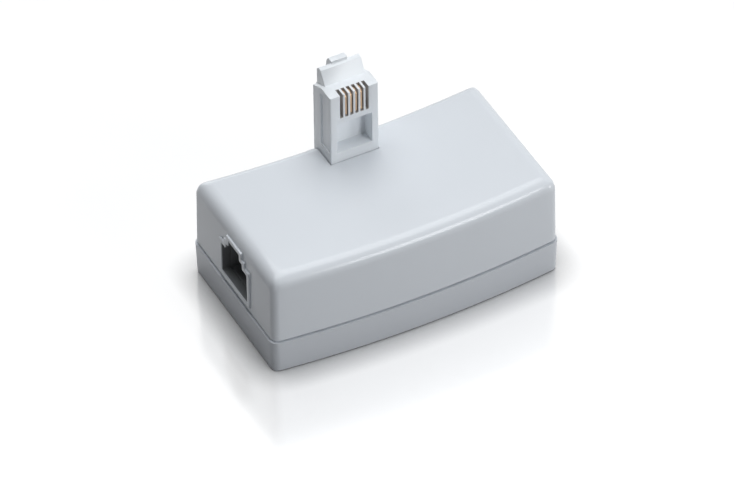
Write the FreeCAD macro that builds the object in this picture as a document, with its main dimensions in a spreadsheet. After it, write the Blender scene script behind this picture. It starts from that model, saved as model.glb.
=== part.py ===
import FreeCAD, Part
import math
import os
from types import SimpleNamespace

import Sketcher

# In-line line filter: a two-shell plastic case with one modular jack in its left end and one
# rigid modular plug standing on its roof at the back edge. The origin is on the floor under
# the middle of the case, X runs along the case, Y to its back and Z up.

# Driving sizes in millimetres, angles in degrees
SIZES = {
    # Case outline: straight ends, a front that bows outwards and a back that bows inwards
    "case_length": 58.0,
    "case_width": 31.6,
    "case_height": 21.6,
    "base_height": 7.35,
    "front_bow": 1.8,
    "back_bow": 1.55,
    "corner_radius": 1.9,
    "top_bevel": 1.35,
    "top_bevel_side": 0.5,
    "foot_chamfer": 0.4,
    "cover_step": 0.22,
    "seam_chamfer": 0.25,
    "wall": 1.9,
    "roof": 1.8,
    "floor_thickness": 1.8,
    # Joint between the shells
    "lip_height": 1.2,
    "lip_inset": 1.0,
    "fit_gap": 0.1,
    "hook_offset": 14.0,
    "hook_width": 5.0,
    "hook_thickness": 1.2,
    "hook_height": 3.2,
    "barb_depth": 0.4,
    "barb_height": 0.9,
    # Board and its posts
    "board_drop": 1.45,
    "board_thickness": 1.6,
    "board_gap": 0.4,
    "post_diameter": 4.4,
    "post_pin": 1.8,
    "post_end_inset": 6.5,
    "post_front_inset": 4.8,
    "post_back_inset": 6.2,
    "part_gap": 0.6,
    "row_gap": 1.3,
    # Plug: housing, comb, latch and contacts
    "plug_x": -0.4,
    "plug_width": 9.65,
    "plug_inset": 8.7,
    "plug_depth": 6.6,
    "plug_seat": 3.2,
    "plug_rail_height": 15.5,
    "rail_drop": 1.5,
    "rail_bend": 3.5,
    "nose_width": 8.1,
    "nose_height": 18.2,
    "comb_depth": 1.8,
    "comb_bottom": 10.2,
    "comb_slot": 0.58,
    "contact_pitch": 1.02,
    "window_width": 7.0,
    "window_bottom": 2.2,
    "window_top": 9.0,
    "window_depth": 2.7,
    "panel_depth": 0.25,
    "root_width": 7.8,
    "root_depth": 3.6,
    "root_length": 3.9,
    "root_inset": 1.0,
    "root_barb": 0.45,
    "well_floor": 1.4,
    "well_wall": 1.6,
    "latch_width": 3.2,
    "latch_shoulder": 6.2,
    "latch_thickness": 0.95,
    "latch_end": 3.0,
    "shoulder_top": 12.4,
    "shoulder_low": 8.4,
    "latch_spread": 3.9,
    "contact_thickness": 0.32,
    "contact_reach": 3.7,
    "contact_leg": 0.5,
    "contact_height": 4.5,
    "contact_lift": 0.3,
    # Jack in the left end
    "jack_y": -0.92,
    "jack_width": 12.0,
    "jack_headroom": 0.7,
    "jack_roof": 0.8,
    "jack_floor": 1.5,
    "jack_depth": 14.0,
    "jack_cavity_width": 9.9,
    "jack_cavity_depth": 12.4,
    "notch_width": 6.3,
    "notch_height": 1.2,
    "slot_width": 4.2,
    "slot_height": 1.4,
    "bezel_rim": 0.8,
    "bezel_proud": 0.35,
    "insert_depth": 3.2,
    "insert_width": 6.6,
    "insert_height": 4.2,
    "spring_wire": 0.46,
    "spring_level": 0.75,
    "spring_rise": 1.5,
    "spring_round": 0.2,
    "spring_angle": 20.0,
    "spring_reach": 6.5,
    "spring_front": 4.2,
    "groove_gap": 0.04,
    # Coils: bobbin, winding, two E cores and pins
    "coil_gap": 3.0,
    "coil_share": 0.78,
    "flange_thickness": 0.9,
    "tube_share": 0.5,
    "tube_wall": 0.7,
    "core_back": 1.9,
    "core_leg": 1.7,
    "winding_gap": 0.5,
    "winding_round": 1.3,
    "pin_width": 0.6,
    "pin_margin": 1.4,
    "pin_below": 1.1,
    # Film capacitors and resistors
    "capacitor_share": 0.62,
    "capacitor_pitch": 5.0,
    "capacitor_chamfer": 0.45,
    "resistor_diameter": 2.3,
    "resistor_waist": 1.9,
    "resistor_cap": 1.5,
    "resistor_end_gap": 1.8,
    "lead_width": 0.5,
    "lead_bend": 0.5,
    "hole_gap": 0.15,
}

doc = FreeCAD.newDocument("Filter")
sheet = doc.addObject("Spreadsheet::Sheet", "Sizes")
for row, (name, value) in enumerate(SIZES.items(), start=1):
    sheet.set(f"A{row}", name)
    sheet.set(f"B{row}", str(value))
    sheet.setAlias(f"B{row}", name)
doc.recompute()


class Size:
    """A number and the formula on the sheet that gives it."""

    def __init__(self, value, formula):
        self.value = value
        self.formula = formula

    @staticmethod
    def of(other):
        if isinstance(other, Size):
            return other
        return Size(float(other), f"{float(other):.6f}")

    def join(self, other, sign, value):
        return Size(value, f"({self.formula} {sign} {other.formula})")

    def __add__(self, other):
        other = Size.of(other)
        return self.join(other, "+", self.value + other.value)

    def __sub__(self, other):
        other = Size.of(other)
        return self.join(other, "-", self.value - other.value)

    def __mul__(self, other):
        other = Size.of(other)
        return self.join(other, "*", self.value * other.value)

    def __truediv__(self, other):
        other = Size.of(other)
        return self.join(other, "/", self.value / other.value)

    def __neg__(self):
        return Size.of(0) - self

    def turned(self, function):
        """Sine, cosine or tangent of this angle in degrees."""
        value = getattr(math, function)(math.radians(self.value))
        return Size(value, f"{function}({self.formula} * 1 deg)")


size = SimpleNamespace(**{name: Size(value, f"Sizes.{name}") for name, value in SIZES.items()})
parts = []


# Sketches and features
def new_body(label, owner=parts):
    body = doc.addObject("PartDesign::Body", label)
    body.Label = label
    owner.append(body)
    return body


def new_sketch(body, plane, offset):
    sketch = body.newObject("Sketcher::SketchObject", body.Label + "_sketch")
    support = next(item for item in body.Origin.OriginFeatures if item.Role == plane)
    sketch.AttachmentSupport = [(support, "")]
    sketch.MapMode = "FlatFace"
    sketch.setExpression("AttachmentOffset.Base.z", Size.of(offset).formula)
    return sketch


def level(body, height):
    """A sketch on a horizontal plane at a height."""
    return new_sketch(body, "XY_Plane", height)


def across(body, x):
    """A sketch on an upright plane across the case: its axes are Y and Z, and it faces +X."""
    return new_sketch(body, "YZ_Plane", x)


def facing(body, y):
    """A sketch on an upright plane along the case: its axes are X and Z, and it faces -Y."""
    return new_sketch(body, "XZ_Plane", -Size.of(y))


def fix(sketch, kind, where, value):
    value = Size.of(value)
    index = sketch.addConstraint(Sketcher.Constraint(kind, *where, value.value))
    sketch.setExpression(f"Constraints[{index}]", value.formula)


def polygon(sketch, corners):
    corners = [(Size.of(x), Size.of(y)) for x, y in corners]
    points = [FreeCAD.Vector(x.value, y.value, 0) for x, y in corners]
    first = sketch.GeometryCount
    sides = zip(points, points[1:] + points[:1])
    sketch.addGeometry([Part.LineSegment(start, end) for start, end in sides], False)
    for step, (x, y) in enumerate(corners):
        following = first + (step + 1) % len(corners)
        sketch.addConstraint(Sketcher.Constraint("Coincident", first + step, 2, following, 1))
        fix(sketch, "DistanceX", (-1, 1, first + step, 1), x)
        fix(sketch, "DistanceY", (-1, 1, first + step, 1), y)


def rectangle(sketch, left, right, low, high):
    polygon(sketch, [(left, low), (right, low), (right, high), (left, high)])


def circle(sketch, x, y, diameter):
    x = Size.of(x)
    y = Size.of(y)
    diameter = Size.of(diameter)
    centre = FreeCAD.Vector(x.value, y.value, 0)
    shape = Part.Circle(centre, FreeCAD.Vector(0, 0, 1), diameter.value / 2)
    index = sketch.addGeometry(shape, False)
    fix(sketch, "Diameter", (index,), diameter)
    fix(sketch, "DistanceX", (-1, 1, index, 3), x)
    fix(sketch, "DistanceY", (-1, 1, index, 3), y)


def bow_radius(sagitta):
    """Radius of an arc over the case length that rises by the sagitta."""
    return (size.case_length * size.case_length / 4 + sagitta * sagitta) / (sagitta * 2)


def front_arc(inset):
    """Centre and radius of the front wall's arc, moved inwards by an inset."""
    radius = bow_radius(size.front_bow)
    return radius - size.case_width / 2 - size.front_bow, radius - inset


def back_arc(inset):
    """Centre and radius of the back wall's arc, moved inwards by an inset."""
    radius = bow_radius(size.back_bow)
    return radius + size.case_width / 2 - size.back_bow, radius + inset


def bow_frame(sketch, lower, upper, left, right):
    """A closed outline of two shallow arcs, joined by straight ends at left and right."""
    first = sketch.GeometryCount
    ends = []
    for centre, radius in (lower, upper):
        middle = FreeCAD.Vector(0, centre.value, 0)
        round_line = Part.Circle(middle, FreeCAD.Vector(0, 0, 1), radius.value)
        angles = [-math.acos(x.value / radius.value) for x in (left, right)]
        arc = Part.ArcOfCircle(round_line, *angles)
        ends.append((arc.StartPoint, arc.EndPoint))
        sketch.addGeometry(arc, False)
    sketch.addGeometry(Part.LineSegment(ends[0][1], ends[1][1]), False)
    sketch.addGeometry(Part.LineSegment(ends[1][0], ends[0][0]), False)
    low, high, right_end, left_end = range(first, first + 4)
    for one, one_end, two, two_end in (
        (low, 2, right_end, 1),
        (right_end, 2, high, 2),
        (high, 1, left_end, 1),
        (left_end, 2, low, 1),
    ):
        sketch.addConstraint(Sketcher.Constraint("Coincident", one, one_end, two, two_end))
    sketch.addConstraint(Sketcher.Constraint("Vertical", right_end))
    sketch.addConstraint(Sketcher.Constraint("Vertical", left_end))
    for arc, (centre, radius) in ((low, lower), (high, upper)):
        sketch.addConstraint(Sketcher.Constraint("PointOnObject", arc, 3, -2))
        fix(sketch, "DistanceY", (-1, 1, arc, 3), centre)
        fix(sketch, "Radius", (arc,), radius)
    fix(sketch, "DistanceX", (-1, 1, right_end, 1), right)
    fix(sketch, "DistanceX", (-1, 1, left_end, 1), left)


def case_outline(sketch, inset):
    inset = Size.of(inset)
    half = size.case_length / 2 - inset
    bow_frame(sketch, front_arc(inset), back_arc(inset), -half, half)


def wall_strips(sketch, outer, inner, width):
    """Four short curved strips beside the long walls, between two insets."""
    for wall_arc in (front_arc, back_arc):
        ends = sorted((wall_arc(outer), wall_arc(inner)), key=lambda arc: -arc[1].value)
        for side in (-1, 1):
            left = size.hook_offset * side - width / 2
            bow_frame(sketch, ends[0], ends[1], left, left + width)


def feature(body, kind, sketch, length, reverse):
    before = body.Shape.Volume if body.Tip else 0
    made = body.newObject(f"PartDesign::{kind}", f"{body.Label}_{kind}")
    made.Profile = sketch
    made.setExpression("Length", Size.of(length).formula)
    made.Reversed = reverse
    doc.recompute()
    change = body.Shape.Volume - before
    if change * (1 if kind == "Pad" else -1) <= 0:
        raise RuntimeError(f"{made.Name} changed the volume of {body.Label} by {change:.3f}")
    return made


def pad(body, sketch, length, reverse=False):
    return feature(body, "Pad", sketch, length, reverse)


def pocket(body, sketch, length, reverse=False):
    return feature(body, "Pocket", sketch, length, reverse)


def dress(body, kind, chosen, amount):
    """A fillet or chamfer on the edges of the body that the chosen test picks."""
    base = body.Tip
    names = [f"Edge{n}" for n, edge in enumerate(base.Shape.Edges, start=1) if chosen(edge)]
    made = body.newObject(f"PartDesign::{kind}", f"{body.Label}_{kind}")
    made.Base = (base, names)
    made.setExpression("Radius" if kind == "Fillet" else "Size", Size.of(amount).formula)
    doc.recompute()
    return made


def samples(edge):
    span = edge.LastParameter - edge.FirstParameter
    return [edge.valueAt(edge.FirstParameter + span * part) for part in (0, 0.5, 1)]


def rises(edge):
    start, _, end = samples(edge)
    return abs(end.z - start.z) > 1


def runs_along_x(edge):
    start, _, end = samples(edge)
    return abs(end.x - start.x) > 1


def bends(edge):
    """True for the edges across the jack that lie inside the length of a contact spring."""
    start, _, end = samples(edge)
    reach = (jack_face + size.spring_front + size.spring_wire).value
    return abs(end.y - start.y) > 0.1 and lead_bottom.value + 1 < start.z and (
        start.x < reach or start.z < cavity_bottom.value
    )


def lies_at(height):
    """A test for edges that lie flat at a height."""
    def test(edge):
        return all(abs(point.z - height) < 0.001 for point in samples(edge))
    return test


# Places that several pieces share
board_bottom = size.base_height - size.board_drop
board_top = board_bottom + size.board_thickness
lead_bottom = board_bottom - size.pin_below
roof_underside = size.case_height - size.roof
plug_front = size.case_width / 2 - size.plug_inset
plug_back = plug_front + size.plug_depth
plug_left = size.plug_x - size.plug_width / 2
seat_level = size.case_height - size.plug_seat
well_bottom = seat_level - size.well_floor
root_front = plug_front + size.root_inset
leg_back = plug_front + size.contact_reach
blade_bottom = size.case_height + size.comb_bottom + size.contact_lift
jack_face = size.wall - size.case_length / 2
jack_rear = jack_face + size.jack_depth
jack_top = roof_underside - size.jack_headroom
slot_top = jack_top - size.jack_roof
notch_top = slot_top - size.slot_height
cavity_top = notch_top - size.notch_height
cavity_bottom = board_top + size.jack_floor
tail_x = jack_rear - size.insert_depth / 2

# The posts, and between the jack and the posts the two rows of parts on the board: the coils
# in front, and behind them a row of seven equal bays for the resistors and capacitors
post_x = size.case_length / 2 - size.post_end_inset
post_front = size.post_front_inset - size.case_width / 2
post_back = size.case_width / 2 - size.post_back_inset
posts = [(post_x * side, y) for side in (-1, 1) for y in (post_front, post_back)]
row_start = jack_rear + size.part_gap
row_end = post_x - size.post_diameter / 2 - size.part_gap
bay = (row_end - row_start) / 7
coil_room = (row_end - row_start - size.coil_gap) / 2
core_width = size.case_width / 2 - size.wall - size.row_gap
board_room = roof_underside - board_top

# Middles of the four contact ways, counted from the middle of the comb and of the jack
ways = (-1.5, -0.5, 0.5, 1.5)
plug_contact_x = [size.plug_x + size.contact_pitch * way for way in ways]
jack_contact_y = [size.jack_y + size.contact_pitch * way for way in ways]
board_holes = []


def jack_mouth(margin):
    """The stepped outline of a modular socket, latch side up, grown by a margin."""
    wide = size.jack_cavity_width / 2 + margin
    step = size.notch_width / 2 + margin
    narrow = size.slot_width / 2 + margin
    steps = (
        (wide, cavity_bottom - margin),
        (wide, cavity_top + margin),
        (step, cavity_top + margin),
        (step, notch_top + margin),
        (narrow, notch_top + margin),
        (narrow, slot_top + margin),
    )
    right = [(size.jack_y + y, z) for y, z in steps]
    left = [(size.jack_y - y, z) for y, z in reversed(steps)]
    return right + left


def make_base():
    body = new_body("base_cover")
    sketch = level(body, size.base_height)
    case_outline(sketch, 0)
    pad(body, sketch, size.base_height, reverse=True)
    dress(body, "Fillet", rises, size.corner_radius)
    dress(body, "Chamfer", lies_at(0), size.foot_chamfer)
    dress(body, "Chamfer", lies_at(size.base_height.value), size.seam_chamfer)
    sketch = level(body, size.base_height)
    case_outline(sketch, size.wall)
    pocket(body, sketch, size.base_height - size.floor_thickness)

    # The lip that centres the cover
    sketch = level(body, size.base_height)
    case_outline(sketch, size.lip_inset)
    case_outline(sketch, size.wall)
    pad(body, sketch, size.lip_height)

    # Posts that carry the board, each with a pin through it
    root = size.floor_thickness / 2
    for diameter, top in (
        (size.post_diameter, board_bottom),
        (size.post_pin, board_top - size.fit_gap),
    ):
        sketch = level(body, root)
        for x, y in posts:
            circle(sketch, x, y, diameter)
        pad(body, sketch, top - root)

    # Snap hooks inside the long walls, with a barb at the top of each
    hook_outer = size.wall + size.fit_gap
    sketch = level(body, root)
    wall_strips(sketch, hook_outer, hook_outer + size.hook_thickness, size.hook_width)
    pad(body, sketch, size.base_height + size.hook_height - root)
    sketch = level(body, root)
    wall_strips(sketch, size.wall - size.fit_gap, hook_outer, size.hook_width)
    pad(body, sketch, size.base_height - root - size.fit_gap)
    sketch = level(body, size.base_height + size.hook_height - size.barb_height)
    wall_strips(sketch, hook_outer - size.barb_depth, hook_outer, size.hook_width)
    pad(body, sketch, size.barb_height)


def make_cover():
    body = new_body("top_cover")
    height = size.case_height - size.base_height
    sketch = level(body, size.base_height)
    case_outline(sketch, size.cover_step)
    pad(body, sketch, height)
    dress(body, "Fillet", rises, size.corner_radius)
    dress(body, "Chamfer", lies_at(size.case_height.value), size.top_bevel)
    top = size.case_height.value
    low = (size.case_height - size.top_bevel).value
    dress(
        body,
        "Chamfer",
        lambda edge: lies_at(top)(edge) or lies_at(low)(edge),
        size.top_bevel_side,
    )
    dress(body, "Chamfer", lies_at(size.base_height.value), size.seam_chamfer)
    sketch = level(body, size.base_height)
    case_outline(sketch, size.wall)
    pocket(body, sketch, height - size.roof, reverse=True)

    # The rebate over the base's lip, and the catches for its hooks
    sketch = level(body, size.base_height)
    case_outline(sketch, size.lip_inset - size.fit_gap)
    pocket(body, sketch, size.lip_height + size.fit_gap, reverse=True)
    barb_low = size.base_height + size.hook_height - size.barb_height
    sketch = level(body, barb_low - size.fit_gap)
    catch_outer = size.wall - size.barb_depth
    wall_strips(sketch, catch_outer, size.wall + size.fit_gap, size.hook_width + size.fit_gap * 4)
    pocket(body, sketch, size.barb_height + size.fit_gap * 3, reverse=True)

    # Columns that hold the board down
    column_foot = board_top + size.fit_gap
    sketch = level(body, column_foot)
    for x, y in posts:
        circle(sketch, x, y, size.post_diameter)
    pad(body, sketch, roof_underside - column_foot + size.roof / 2)

    # The raised bezel and the opening for the jack in the left end
    sketch = across(body, jack_face - size.wall / 2)
    polygon(sketch, jack_mouth(size.bezel_rim))
    pad(body, sketch, size.wall / 2 + size.bezel_proud, reverse=True)
    sketch = across(body, jack_face - size.wall - size.bezel_proud * 2)
    polygon(sketch, jack_mouth(size.fit_gap))
    pocket(body, sketch, size.wall + size.bezel_proud * 3, reverse=True)

    # The well that the plug stands in, open to the back
    well_left = plug_left - size.well_wall
    well_right = plug_left + size.plug_width + size.well_wall
    sketch = level(body, well_bottom)
    inner_wall = size.case_width / 2 - size.back_bow - size.wall / 2
    rectangle(sketch, well_left, well_right, plug_front - size.well_wall, inner_wall)
    pad(body, sketch, roof_underside - well_bottom + size.roof / 2)
    sketch = level(body, size.case_height)
    rectangle(
        sketch,
        plug_left - size.fit_gap,
        plug_left + size.plug_width + size.fit_gap,
        plug_front - size.fit_gap,
        size.case_width / 2,
    )
    pocket(body, sketch, size.plug_seat)
    sketch = level(body, seat_level)
    half = size.root_width / 2 + size.fit_gap
    rectangle(
        sketch,
        size.plug_x - half,
        size.plug_x + half,
        root_front - size.fit_gap,
        root_front + size.root_depth + size.fit_gap,
    )
    pocket(body, sketch, size.well_floor)


def make_plug():
    body = new_body("plug_housing")
    roof = size.case_height
    rail_top = roof + size.plug_rail_height
    bend = plug_front + size.rail_bend

    # The block with its two side rails, and the root that snaps in under the well
    sketch = across(body, plug_left)
    polygon(
        sketch,
        [
            (plug_front, seat_level),
            (plug_back, seat_level),
            (plug_back, rail_top - size.rail_drop),
            (bend, rail_top),
            (plug_front, rail_top),
        ],
    )
    pad(body, sketch, size.plug_width)
    sketch = level(body, seat_level)
    half = size.root_width / 2
    rectangle(
        sketch, size.plug_x - half, size.plug_x + half, root_front, root_front + size.root_depth
    )
    pad(body, sketch, size.root_length, reverse=True)
    barb_top = well_bottom - size.fit_gap
    barb_bottom = seat_level - size.root_length
    sketch = facing(body, root_front + size.root_depth / 4)
    for side in (-1, 1):
        edge = size.plug_x + half * side
        polygon(
            sketch,
            [
                (edge - size.root_barb * side, barb_bottom),
                (edge, barb_bottom),
                (edge + size.root_barb * side, barb_top),
                (edge - size.root_barb * side, barb_top),
            ],
        )
    pad(body, sketch, size.root_depth / 2, reverse=True)

    # The nose, whose ramp rises behind the comb
    nose_top = roof + size.nose_height
    sketch = across(body, size.plug_x - size.nose_width / 2)
    polygon(
        sketch,
        [
            (bend, rail_top - size.rail_drop * 2),
            (plug_back, rail_top - size.rail_drop * 2),
            (plug_back, nose_top - size.rail_drop / 2),
            (plug_back - size.rail_drop / 2, nose_top),
            (plug_back - size.rail_drop, nose_top - size.rail_drop / 6),
            (bend, rail_top),
        ],
    )
    pad(body, sketch, size.nose_width)
    dress(
        body,
        "Fillet",
        lambda edge: rises(edge) and samples(edge)[0].y < plug_front.value + 0.01,
        size.panel_depth,
    )

    # The comb of six slots, and the deeper channels that hold the four contacts
    comb_low = roof + size.comb_bottom
    comb_first = size.plug_x - size.contact_pitch * 2.5
    sketch = facing(body, plug_front)
    rectangle(
        sketch,
        comb_first - size.comb_slot / 2,
        comb_first + size.comb_slot / 2,
        comb_low,
        nose_top,
    )
    slot = pocket(body, sketch, size.comb_depth)
    comb = body.newObject("PartDesign::LinearPattern", "comb")
    comb.Originals = [slot]
    comb.Direction = (sketch, ["H_Axis"])
    comb.setExpression("Length", (size.contact_pitch * 5).formula)
    comb.Occurrences = 6
    body.Tip = comb
    doc.recompute()
    sketch = facing(body, plug_front)
    for x in plug_contact_x:
        half = size.contact_thickness / 2
        rectangle(sketch, x - half, x + half, blade_bottom, blade_bottom + size.contact_height)
    pocket(body, sketch, size.contact_reach)
    leg_bottom = seat_level - size.root_length
    sketch = level(body, leg_bottom)
    for x in plug_contact_x:
        half = size.contact_thickness / 2
        rectangle(sketch, x - half, x + half, leg_back - size.contact_leg, leg_back)
    pocket(body, sketch, blade_bottom - leg_bottom, reverse=True)

    # The window below the comb, and the shallow panel in each side
    sketch = facing(body, plug_front)
    half = size.window_width / 2
    rectangle(
        sketch,
        size.plug_x - half,
        size.plug_x + half,
        roof + size.window_bottom,
        roof + size.window_top,
    )
    pocket(body, sketch, size.window_depth)
    for side in (-1, 1):
        sketch = across(body, size.plug_x + size.plug_width / 2 * side)
        rectangle(
            sketch,
            plug_front + size.panel_depth * 2,
            bend + size.panel_depth,
            roof + size.window_bottom,
            rail_top - size.rail_drop,
        )
        pocket(body, sketch, size.panel_depth, reverse=side < 0)

    # The latch: a springy finger moulded on the nose, with a shoulder half way down
    top = nose_top + size.latch_thickness / 2
    low = roof + size.latch_end
    outer = plug_back + size.latch_spread
    slope = size.latch_spread / (top - low)
    sketch = across(body, size.plug_x - size.latch_width / 2)
    polygon(
        sketch,
        [
            (plug_back - size.latch_thickness, nose_top - size.rail_drop),
            (plug_back + slope * size.rail_drop, nose_top - size.rail_drop),
            (outer - size.latch_thickness, low),
            (outer, low),
            (plug_back + size.latch_thickness, nose_top - size.latch_thickness / 2),
            (plug_back + size.latch_thickness / 3, top),
            (plug_back - size.latch_thickness, top),
        ],
    )
    pad(body, sketch, size.latch_width)
    shoulder_top = roof + size.shoulder_top
    shoulder_low = roof + size.shoulder_low
    sketch = across(body, size.plug_x - size.latch_shoulder / 2)
    wide = [(top - z) * slope + plug_back for z in (shoulder_top, shoulder_low)]
    polygon(
        sketch,
        [
            (wide[0] - size.latch_thickness / 4, shoulder_top),
            (wide[1] - size.latch_thickness / 2, shoulder_low),
            (wide[1] + size.latch_thickness, shoulder_low),
            (wide[0] + size.latch_thickness / 2, shoulder_top),
        ],
    )
    pad(body, sketch, size.latch_shoulder)


def make_plug_contacts():
    tip = plug_front + size.comb_slot / 2
    blade_top = blade_bottom + size.contact_height
    for number, x in enumerate(plug_contact_x, start=1):
        body = new_body(f"plug_contact_{number}")
        sketch = across(body, x - size.contact_thickness / 2)
        polygon(
            sketch,
            [
                (leg_back, lead_bottom),
                (leg_back, blade_top),
                (tip + size.contact_leg, blade_top),
                (tip, blade_top - size.contact_leg),
                (tip, blade_bottom),
                (leg_back - size.contact_leg, blade_bottom),
                (leg_back - size.contact_leg, lead_bottom),
            ],
        )
        pad(body, sketch, size.contact_thickness)
        board_holes.append((x, leg_back - size.contact_leg / 2, size.contact_leg))


def make_jack():
    body = new_body("jack_housing")
    sketch = across(body, jack_face)
    half = size.jack_width / 2
    rectangle(sketch, size.jack_y - half, size.jack_y + half, board_top, jack_top)
    pad(body, sketch, size.jack_depth)
    sketch = across(body, jack_face)
    polygon(sketch, jack_mouth(0))
    pocket(body, sketch, size.jack_cavity_depth, reverse=True)

    # Grooves in the floor for the contact springs, and the seat of the insert at the rear
    groove = size.spring_wire / 2 + size.groove_gap
    sketch = across(body, jack_rear)
    for y in jack_contact_y:
        rectangle(
            sketch,
            y - groove,
            y + groove,
            board_top + size.spring_level / 2,
            cavity_bottom + size.spring_wire,
        )
    pocket(body, sketch, size.jack_depth - size.spring_front / 2)
    sketch = across(body, jack_rear)
    half = size.insert_width / 2
    rectangle(
        sketch, size.jack_y - half, size.jack_y + half, board_top, board_top + size.insert_height
    )
    pocket(body, sketch, size.insert_depth)

    insert = new_body("jack_insert")
    sketch = across(insert, jack_rear)
    rectangle(
        sketch, size.jack_y - half, size.jack_y + half, board_top, board_top + size.insert_height
    )
    pad(insert, sketch, size.insert_depth, reverse=True)
    sketch = across(insert, jack_rear)
    for y in jack_contact_y:
        rectangle(
            sketch,
            y - groove,
            y + groove,
            board_top,
            board_top + size.spring_level + groove,
        )
    pocket(insert, sketch, size.insert_depth)


def make_jack_springs():
    """Springs: a tail in the board, a run under the cavity, a turn up and a slant back into it."""
    half = size.spring_wire / 2
    low = board_top + size.spring_level
    front = jack_face + size.spring_front
    turn = low + size.spring_rise
    sine = size.spring_angle.turned("sin")
    cosine = size.spring_angle.turned("cos")
    tip_x = front + cosine * size.spring_reach
    tip_z = turn + sine * size.spring_reach
    mitre = half * (Size.of(1) - sine) / cosine
    for number, y in enumerate(jack_contact_y, start=1):
        body = new_body(f"jack_contact_{number}")
        sketch = facing(body, y - half)
        polygon(
            sketch,
            [
                (tail_x - half, lead_bottom),
                (tail_x - half, low - half),
                (front - half, low - half),
                (front - half, turn + mitre),
                (tip_x - half * sine, tip_z + half * cosine),
                (tip_x + half * sine, tip_z - half * cosine),
                (front + half, turn - mitre),
                (front + half, low + half),
                (tail_x + half, low + half),
                (tail_x + half, lead_bottom),
            ],
        )
        pad(body, sketch, size.spring_wire, reverse=True)
        dress(body, "Fillet", bends, size.spring_round)
        board_holes.append((tail_x, y, size.spring_wire))


def block(label, low_corner, extents):
    made = doc.addObject("Part::Box", label)
    made.Label = label
    for name, value in zip(("Length", "Width", "Height"), extents):
        made.setExpression(name, Size.of(value).formula)
    for name, value in zip("xyz", low_corner):
        made.setExpression(f"Placement.Base.{name}", Size.of(value).formula)
    return made


def cut(label, base, tool):
    made = doc.addObject("Part::Cut", label)
    made.Label = label
    made.Base = base
    made.Tool = tool
    return made


def group(label, kind, members):
    """Several objects fused into one solid, or kept together as separate solids."""
    made = doc.addObject(f"Part::{kind}", label)
    made.Label = label
    if kind == "MultiFuse":
        made.Shapes = members
    else:
        made.Links = members
    return made


def pin(name, owner, x, y):
    """A square pin through the board, with its hole."""
    half = size.pin_width / 2
    length = board_top - lead_bottom
    corner = (x - half, y - half, lead_bottom)
    owner.append(block(f"{name}_{len(owner) + 1}", corner, (half * 2, half * 2, length)))
    board_holes.append((x, y, size.pin_width))


def make_coil(number):
    """A choke: a bobbin with its winding, two E cores from the ends and four pins."""
    name = f"choke_{number}"
    reach = coil_room / 2
    x = (row_start + reach, row_end - reach)[number - 1]
    y = -(size.row_gap + core_width / 2)
    half_length = reach - size.core_back - size.fit_gap
    length = half_length * 2
    wide = core_width - size.core_leg * 2 - size.fit_gap * 4
    high = board_room * size.coil_share
    z = board_top + high / 2
    left = x - half_length
    right = x + half_length
    tube_wide = wide * size.tube_share
    tube_high = high * size.tube_share
    bore_wide = tube_wide - size.tube_wall * 2
    bore_high = tube_high - size.tube_wall * 2
    core_high = bore_high - size.fit_gap * 2
    flanges = [
        block(
            f"{name}_flange_{side}",
            (start, y - wide / 2, board_top),
            (size.flange_thickness, wide, high),
        )
        for side, start in (("a", left), ("b", right - size.flange_thickness))
    ]
    sleeve = block(
        f"{name}_sleeve",
        (left, y - tube_wide / 2, z - tube_high / 2),
        (length, tube_wide, tube_high),
    )
    bore = block(
        f"{name}_bore",
        (left - size.wall, y - bore_wide / 2, z - bore_high / 2),
        (length + size.wall * 2, bore_wide, bore_high),
    )
    solid = group(f"{name}_frame", "MultiFuse", flanges + [sleeve])
    parts.append(cut(f"{name}_bobbin", solid, bore))

    # The winding fills the space between the flanges
    wound = length - size.flange_thickness * 2
    body = new_body(f"{name}_winding")
    sketch = across(body, left + size.flange_thickness)
    half_wide = wide / 2 - size.winding_gap
    half_high = high / 2 - size.winding_gap
    rectangle(sketch, y - half_wide, y + half_wide, z - half_high, z + half_high)
    pad(body, sketch, wound)
    dress(body, "Fillet", runs_along_x, size.winding_round)
    sketch = across(body, left + size.flange_thickness)
    rectangle(
        sketch, y - tube_wide / 2, y + tube_wide / 2, z - tube_high / 2, z + tube_high / 2
    )
    pocket(body, sketch, wound, reverse=True)

    # Each E core is a plate across the end with three legs that meet the other core's
    for side, place in ((-1, "left"), (1, "right")):
        body = new_body(f"{name}_core_{place}")
        sketch = level(body, z - core_high / 2)
        end = half_length + size.fit_gap
        outer = core_width / 2
        inner = outer - size.core_leg
        centre = bore_wide / 2 - size.fit_gap
        steps = [
            (end + size.core_back, outer),
            (0, outer),
            (0, inner),
            (end, inner),
            (end, centre),
            (0, centre),
        ]
        upper = [(x + across_x * side, y + up) for across_x, up in steps]
        lower = [(x + across_x * side, y - up) for across_x, up in reversed(steps)]
        polygon(sketch, upper + lower)
        pad(body, sketch, core_high)

    pins = []
    for pin_x in (left + size.flange_thickness / 2, right - size.flange_thickness / 2):
        for side in (-1, 1):
            pin(f"{name}_pin", pins, pin_x, y + (wide / 2 - size.pin_margin) * side)
    parts.append(group(f"{name}_pins", "Compound", pins))


def make_capacitor(number):
    """A film capacitor: an upright box on two leads, one to a bay."""
    name = f"capacitor_{number}"
    x = row_start + bay * (number + 3.5)
    y = post_back / 2
    half_x = bay / 2 - size.part_gap
    half_y = y - size.row_gap
    body = new_body(name)
    sketch = level(body, board_top)
    rectangle(sketch, x - half_x, x + half_x, y - half_y, y + half_y)
    high = board_room * size.capacitor_share
    top = board_top + high
    pad(body, sketch, high)
    dress(
        body,
        "Chamfer",
        lambda edge: rises(edge) or lies_at(top.value)(edge),
        size.capacitor_chamfer,
    )
    leads = []
    for side in (-1, 1):
        pin(f"{name}_lead", leads, x, y + size.capacitor_pitch / 2 * side)
    parts.append(group(f"{name}_leads", "Compound", leads))


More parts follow.
